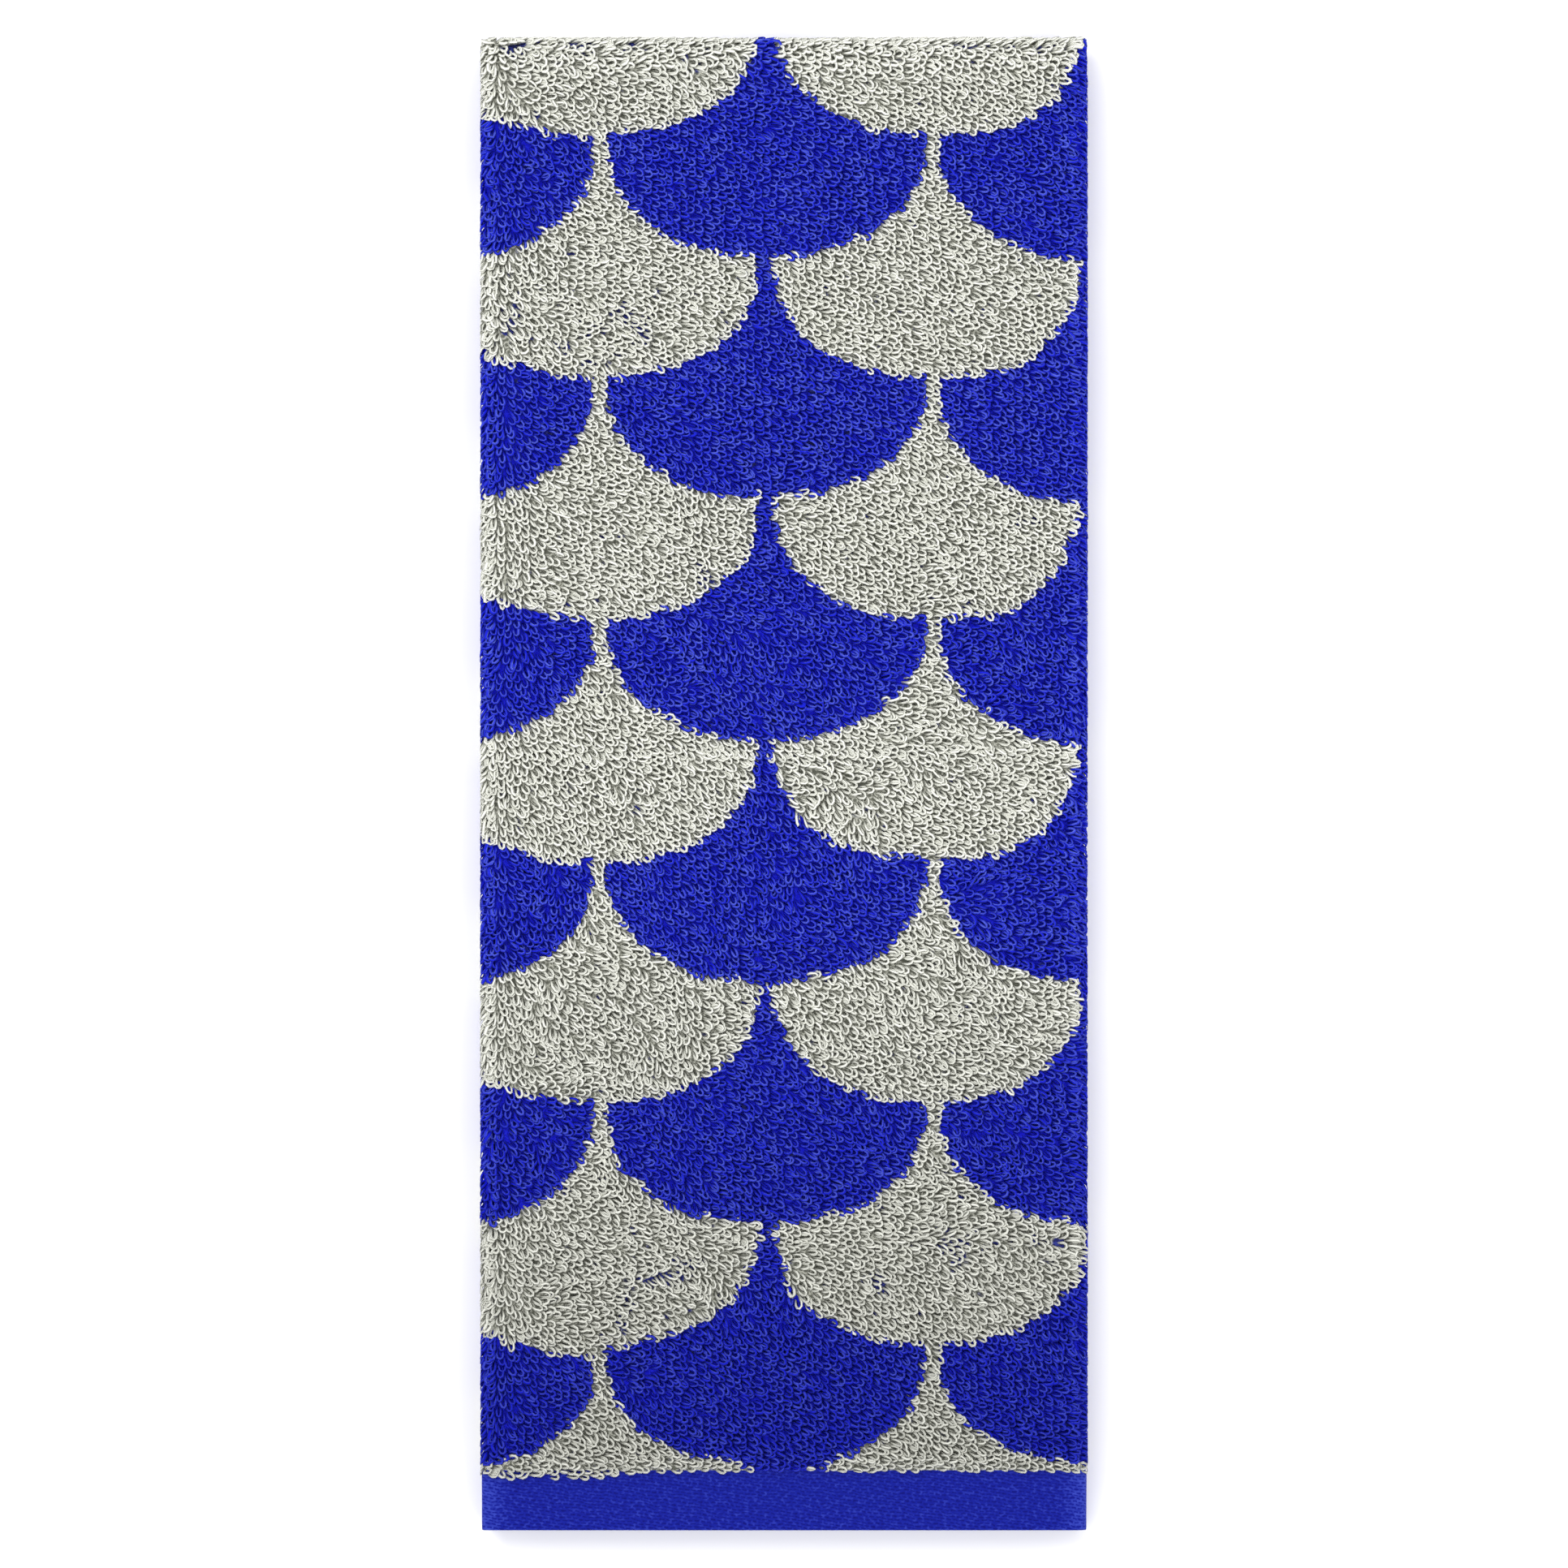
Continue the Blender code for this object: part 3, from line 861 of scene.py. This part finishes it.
def woven_faces(piece, flat):
    """True for each face of the cloth that lies on a hem or a selvedge, where it has no pile."""
    on_hem = hem_distance(flat[:, 1]) < HEM_WEAVE_END
    on_selvedge = selvedge_distance(flat[:, 0]) < SELVEDGE_WEAVE_END
    return np.array([
        any(all(woven[corner] for corner in face.vertices) for woven in (on_hem, on_selvedge))
        for face in piece.data.polygons
    ])


def principled(name, colour, roughness, sheen=0.0, sheen_tint=WHITE, specular=0.25):
    material = bpy.data.materials.new(name)
    material.use_nodes = True
    shader = material.node_tree.nodes["Principled BSDF"]
    for socket, value in {
        "Base Color": (*colour, 1.0),
        "Roughness": roughness,
        "Specular IOR Level": specular,
        "Sheen Weight": sheen,
        "Sheen Roughness": 0.5,
        "Sheen Tint": (*sheen_tint, 1.0),
    }.items():
        shader.inputs[socket].default_value = value
    return material


def node(tree, kind, **values):
    """A new node, with its inputs and its own settings given by name."""
    made = tree.nodes.new(kind)
    for name, value in values.items():
        if name in made.inputs:
            made.inputs[name].default_value = value
        else:
            setattr(made, name, value)
    return made


def link(tree, source, target):
    tree.links.new(source, target)


def point_value(tree, name, output):
    """A value that the mesh holds at its points."""
    return node(tree, "ShaderNodeAttribute", attribute_name=name).outputs[output]


def x_and_y(tree, vector):
    split = node(tree, "ShaderNodeSeparateXYZ")
    link(tree, vector, split.inputs["Vector"])
    return split.outputs["X"], split.outputs["Y"]


def noise(tree, vector, scale, detail, roughness=0.5):
    made = node(tree, "ShaderNodeTexNoise", Scale=scale, Detail=detail, Roughness=roughness)
    link(tree, vector, made.inputs["Vector"])
    return made.outputs["Fac"]


def maths(tree, operation, *terms):
    """The result of one Math node, whose terms are numbers or other nodes' results."""
    made = node(tree, "ShaderNodeMath", operation=operation)
    for socket, term in zip(made.inputs, terms):
        if isinstance(term, (int, float)):
            socket.default_value = term
        else:
            link(tree, term, socket)
    return made.outputs["Value"]


def share_between(tree, value, low, high, most=1.0, kind="SMOOTHSTEP"):
    """0 where a result is at low, and the most where it is at high."""
    limits = {"From Min": low, "From Max": high, "To Max": most}
    made = node(tree, "ShaderNodeMapRange", interpolation_type=kind, **limits)
    link(tree, value, made.inputs["Value"])
    return made.outputs["Result"]


def ramp(tree, factor, *stops):
    """A colour ramp over a result: its stops are (place, colour)."""
    made = node(tree, "ShaderNodeValToRGB")
    while len(made.color_ramp.elements) < len(stops):
        made.color_ramp.elements.new(0.5)
    for element, (position, colour) in zip(made.color_ramp.elements, stops):
        element.position = position
        element.color = (*colour, 1.0)
    link(tree, factor, made.inputs["Fac"])
    return made.outputs["Color"]


def mixed(tree, factor, first, second):
    """Two colours mixed. Each is another node's result or a fixed colour."""
    made = node(tree, "ShaderNodeMix", data_type="RGBA")
    link(tree, factor, made.inputs["Factor"])
    for socket, colour in zip((made.inputs["A"], made.inputs["B"]), (first, second)):
        if isinstance(colour, tuple):
            socket.default_value = (*colour, 1.0)
        else:
            link(tree, colour, socket)
    return made.outputs["Result"]


def set_bump(tree, height, strength, distance):
    bump = node(tree, "ShaderNodeBump", Strength=strength, Distance=distance)
    link(tree, height, bump.inputs["Height"])
    link(tree, bump.outputs["Normal"], tree.nodes["Principled BSDF"].inputs["Normal"])


def set_colour(tree, colour):
    link(tree, colour, tree.nodes["Principled BSDF"].inputs["Base Color"])


def yarn_material(name, colours, hem_shade, hem_shade_share, sheen, specular, painted_side_light, painted_crest_light):
    """Cotton yarn, with painted shade at the loops' roots and painted light at their tips, and its plies in
    fine bumps.

    The given painted light lights the yarn's flanks, and the next amount paints its ridge lighter or darker:
    above 0 a painted highlight, below 0 painted shade in the groove between the plies.
    Towards the hem the pile is painted darker, as shade: the given hem colour is mixed in, up to the given
    share."""
    root, middle, tip = colours
    material = principled(name, tip, 0.85, sheen, tip, specular)
    tree = material.node_tree
    place = node(tree, "ShaderNodeTexCoord").outputs["Object"]
    shade = point_value(tree, "shade", "Fac")
    spots = noise(tree, place, scale=900.0, detail=2.0, roughness=0.6)
    uneven = maths(tree, "MULTIPLY_ADD", spots, 0.30, -0.15)
    across_ply = point_value(tree, "ply", "Fac")
    off_middle = maths(tree, "ABSOLUTE", maths(tree, "MULTIPLY_ADD", across_ply, 2.0, -1.0))
    ply_height = maths(tree, "SUBTRACT", 1.0, maths(tree, "POWER", off_middle, 3.0))
    # Painted light across the yarn: the ridge amount paints a highlight above 0 and groove shade below 0
    on_crest = maths(tree, "MAXIMUM", maths(tree, "MULTIPLY_ADD", across_ply, -4.0, 1.0), 0.0)
    painted_ply_light = maths(tree, "MULTIPLY_ADD", on_crest, painted_crest_light, painted_side_light)
    light = maths(tree, "MULTIPLY", maths(tree, "ADD", shade, uneven), painted_ply_light)
    _, y = x_and_y(tree, place)
    # Painted shade: the pile is painted darker towards the hem
    near_hem = share_between(tree, y, *HEM_SHADE_PART, hem_shade_share, "LINEAR")
    # The ramp paints shade at the loops' roots and light at their tips
    colour = ramp(tree, light, (0.0, root), (0.55, middle), (1.0, tip))
    set_colour(tree, mixed(tree, near_hem, colour, hem_shade))
    set_bump(tree, ply_height, strength=0.8, distance=0.00015)
    return material


def scale_number(tree, across, along, first):
    """The same as highest_scale, as nodes over the cloth's flat places."""
    shifted = maths(tree, "ADD", across, HALF_PERIOD - GREY_MIDDLE - first * HALF_PERIOD)
    off = maths(tree, "SUBTRACT", maths(tree, "WRAP", shifted, 2 * HALF_PERIOD, 0.0), HALF_PERIOD)
    share = maths(tree, "ABSOLUTE", maths(tree, "DIVIDE", off, SCALE_HALF_WIDTH))
    inside = maths(tree, "SUBTRACT", 1.0, maths(tree, "POWER", share, SCALE_POWER))
    round_edge = maths(tree, "POWER", maths(tree, "MAXIMUM", inside, 0.0), 1.0 / SCALE_POWER)
    above = maths(tree, "MULTIPLY_ADD", round_edge, SCALE_DEPTH, along)
    above = maths(tree, "SUBTRACT", above, GREY_BOTTOM + OVERHANG + SCALE_DEPTH + first * SCALE_STEP)
    pairs = maths(tree, "FLOOR", maths(tree, "DIVIDE", above, 2 * SCALE_STEP))
    number = maths(tree, "MULTIPLY_ADD", pairs, 2.0, first)
    return maths(tree, "MULTIPLY_ADD", maths(tree, "LESS_THAN", inside, 0.0), NO_SCALE, number)


def bed_material():
    """Painted shade between the loops' feet, with painted strands, and the ground's weave where the pile
    parts.
    """
    material = principled("pile_bed", (0.014, 0.018, 0.20), 0.9)
    tree = material.node_tree
    flat = point_value(tree, "flat", "Vector")
    across, along = x_and_y(tree, point_value(tree, "pattern", "Vector"))
    feet = node(tree, "ShaderNodeTexVoronoi", voronoi_dimensions="2D", Scale=620.0, Randomness=0.9)
    link(tree, flat, feet.inputs["Vector"])
    # Rings of painted strands with painted shade between them; the ground and the bump follow the same rings
    strand = ramp(tree, feet.outputs["Distance"], (0.0, BLACK), (0.20, (0.1, 0.1, 0.1)), (0.36, WHITE),
                  (0.50, (0.9, 0.9, 0.9)), (0.66, BLACK))
    grey_shaded_feet, blue_shaded_feet, ground = (
        ramp(tree, strand, (0.0, dark), (1.0, light)) for dark, light in (GREY_SHADED_FEET, BLUE_SHADED_FEET, GROUND)
    )
    even, odd = (scale_number(tree, across, along, first) for first in (0, 1))
    shaded_feet_colour = mixed(tree, maths(tree, "GREATER_THAN", even, odd), blue_shaded_feet, grey_shaded_feet)
    hollows = noise(tree, flat, scale=230.0, detail=1.0)
    bare = maths(tree, "MULTIPLY_ADD", point_value(tree, "bare", "Fac"), 0.6, hollows)
    bare_share = ramp(tree, bare, (0.66, BLACK), (0.74, WHITE))
    set_colour(tree, mixed(tree, bare_share, shaded_feet_colour, ground))
    set_bump(tree, strand, strength=0.8, distance=0.0003)
    return material


def hem_material():
    """The flat woven hem: rows of short floats, each a bit lower than the last, and dark dashes between."""
    material = principled("woven_hem", (0.006, 0.013, 0.24), 0.7, 0.05, (0.35, 0.45, 1.0), 0.08)
    tree = material.node_tree
    flat = point_value(tree, "flat", "Vector")
    across, along = x_and_y(tree, flat)
    warp = noise(tree, flat, scale=260.0, detail=2.0)
    uneven = maths(tree, "MULTIPLY", warp, FLOAT_WAVER)
    level = maths(tree, "ADD", maths(tree, "MULTIPLY_ADD", across, FLOAT_SLANT, along), uneven)
    row = maths(tree, "DIVIDE", level, FLOAT_HEIGHT)
    number, in_row = maths(tree, "FLOOR", row), maths(tree, "FRACT", row)
    place = maths(tree, "DIVIDE", across, FLOAT_WIDTH)
    place = maths(tree, "MULTIPLY_ADD", number, FLOAT_SHIFT, place)
    place = maths(tree, "MULTIPLY_ADD", warp, FLOAT_SLIDE, place)
    from_middle = maths(tree, "ABSOLUTE", maths(tree, "SUBTRACT", in_row, 0.5))
    within_ends = share_between(tree, maths(tree, "PINGPONG", place, 0.5), *DASH_ENDS)
    within_sides = share_between(tree, from_middle, *DASH_SIDES)
    dash = maths(tree, "MULTIPLY", within_ends, within_sides)
    # Painted sheen: the hem is painted lighter towards the towel's side edges, where the cloth turns away
    edge_sheen_share = share_between(tree, maths(tree, "ABSOLUTE", across), *HEM_EDGE_SHEEN_PART)
    fibres = noise(tree, flat, scale=900.0, detail=1.0)
    cloudy = maths(tree, "MULTIPLY_ADD", fibres, 0.9, 0.16)
    light = maths(tree, "MULTIPLY_ADD", dash, -DASH_DEPTH, cloudy)
    light = maths(tree, "MULTIPLY_ADD", edge_sheen_share, HEM_EDGE_PAINTED_SHEEN, light)
    set_colour(tree, ramp(tree, light, *zip((0.0, 0.6, 1.0), HEM_COLOURS)))
    set_bump(tree, maths(tree, "SUBTRACT", 1.0, dash), strength=0.6, distance=0.00012)
    return material


def fold_field():
    """Where the loops at the folds are rooted, with those of the left ridge and of the underside's strip."""
    fields = [
        loop_field(INNER_FLAP, LEFT_FOLD, FIRST_ROW, FINE_END, seed=301, crowding=LEFT_CROWDING),
        loop_field(RIGHT_FOLD, OUTER_FLAP, FIRST_ROW, FINE_END, seed=302, crowding=RIGHT_CROWDING),
        loop_field(*RIDGE, RIDGE_START, FINE_END, seed=306, spread=RIDGE_SPREAD),
        loop_field(INNER_FLAP, OUTER_FLAP, FINE_END, BACK_START, seed=303),
        loop_field(INNER_FLAP, LEFT_FOLD, BACK_START, LAST_ROW, seed=304, crowding=LEFT_CROWDING),
        loop_field(RIGHT_FOLD, OUTER_FLAP, BACK_START, LAST_ROW, seed=305, crowding=RIGHT_CROWDING),
        loop_field(UNDER_END, RIGHT_FOLD, BACK_START, LAST_ROW, seed=307, spread=STRIP_SPREAD),
    ]
    return [np.concatenate(values) for values in zip(*fields)]


def build_towel():
    materials = {
        # Grey: painted shade in the groove between plies. Blue: painted highlight on the ridge, painted shade
        # beside it
        "grey": yarn_material("grey_yarn", GREY_SHADED_YARN, GREY_HEM_SHADE, GREY_HEM_SHADE_SHARE,
                              sheen=0.2, specular=0.25, painted_side_light=1.0, painted_crest_light=-0.6),
        "blue": yarn_material("blue_yarn", BLUE_SHADED_YARN, BLUE_HEM_SHADE, BLUE_HEM_SHADE_SHARE,
                              sheen=0.1, specular=0.06, painted_side_light=0.62, painted_crest_light=0.36),
        "bed": bed_material(),
        "hem": hem_material(),
    }
    cloth = cloth_piece(materials)
    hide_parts("towel")

    lower = loop_field(LEFT_FOLD, RIGHT_FOLD, FIRST_ROW, HALF_WAY, seed=100)
    upper = loop_field(LEFT_FOLD, RIGHT_FOLD, HALF_WAY, FINE_END, seed=200)
    under = loop_field(LEFT_FOLD, UNDER_END, BACK_START, LAST_ROW, seed=401, spread=UNDER_SPREAD)
    piles = [
        *pile_pieces("lower", *lower, ROUND_LOOP, materials, seed=101),
        *pile_pieces("upper", *upper, ROUND_LOOP, materials, seed=201),
        *pile_pieces("folds", *fold_field(), PLAIN_LOOP, materials, seed=310),
        *pile_pieces("under", *under, LEAST_LOOP, materials, seed=410, spread=UNDER_SPREAD),
    ]
    for piece in [cloth, *piles]:
        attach(piece, "root")


def build_floor():
    corners = [
        (x * FLOOR_HALF_SIDE, y * FLOOR_HALF_SIDE, -FLOOR_DROP)
        for x, y in ((-1, -1), (1, -1), (1, 1), (-1, 1))
    ]
    mesh = bpy.data.meshes.new("floor")
    mesh.from_pydata(corners, [], [(0, 1, 2, 3)])
    mesh.materials.append(principled("pale_floor", FLOOR_WHITE, 0.7))
    placed("floor", mesh)


def add_light(name, place, size, power):
    """A round soft light that shines at the middle of the towel, and that the camera doesn't see."""
    data = bpy.data.lights.new(name, "AREA")
    data.shape = "DISK"
    data.size = size
    data.energy = power
    light = placed(name, data)
    light.location = place
    light.rotation_euler = (-Vector(place)).to_track_quat("-Z", "Y").to_euler()
    light.visible_camera = False


def build_studio():
    add_light("key", (-0.5, 0.7, 1.8), 1.0, 13.0)
    add_light("fill", (0.9, -0.5, 1.6), 1.2, 6.0)
    world = bpy.data.worlds.new("studio")
    world.use_nodes = True
    background = world.node_tree.nodes["Background"]
    background.inputs["Color"].default_value = (*WHITE, 1.0)
    background.inputs["Strength"].default_value = SKY_STRENGTH
    bpy.context.scene.world = world
    bpy.context.scene.view_settings.view_transform = "Standard"


def build_camera():
    """Straight above the towel, with a long lens, framed as the photo is."""
    view_width = FOLDED_LENGTH * PHOTO_PIXELS / TOWEL_PIXELS
    data = bpy.data.cameras.new("camera")
    data.lens = CAMERA_LENS
    data.sensor_width = CAMERA_SENSOR
    data.clip_end = CAMERA_REACH
    camera = placed("camera", data)
    camera.location = (0.0, 0.0, STACK + view_width * CAMERA_LENS / CAMERA_SENSOR)
    bpy.context.scene.camera = camera


build_towel()
build_floor()
build_studio()
build_camera()
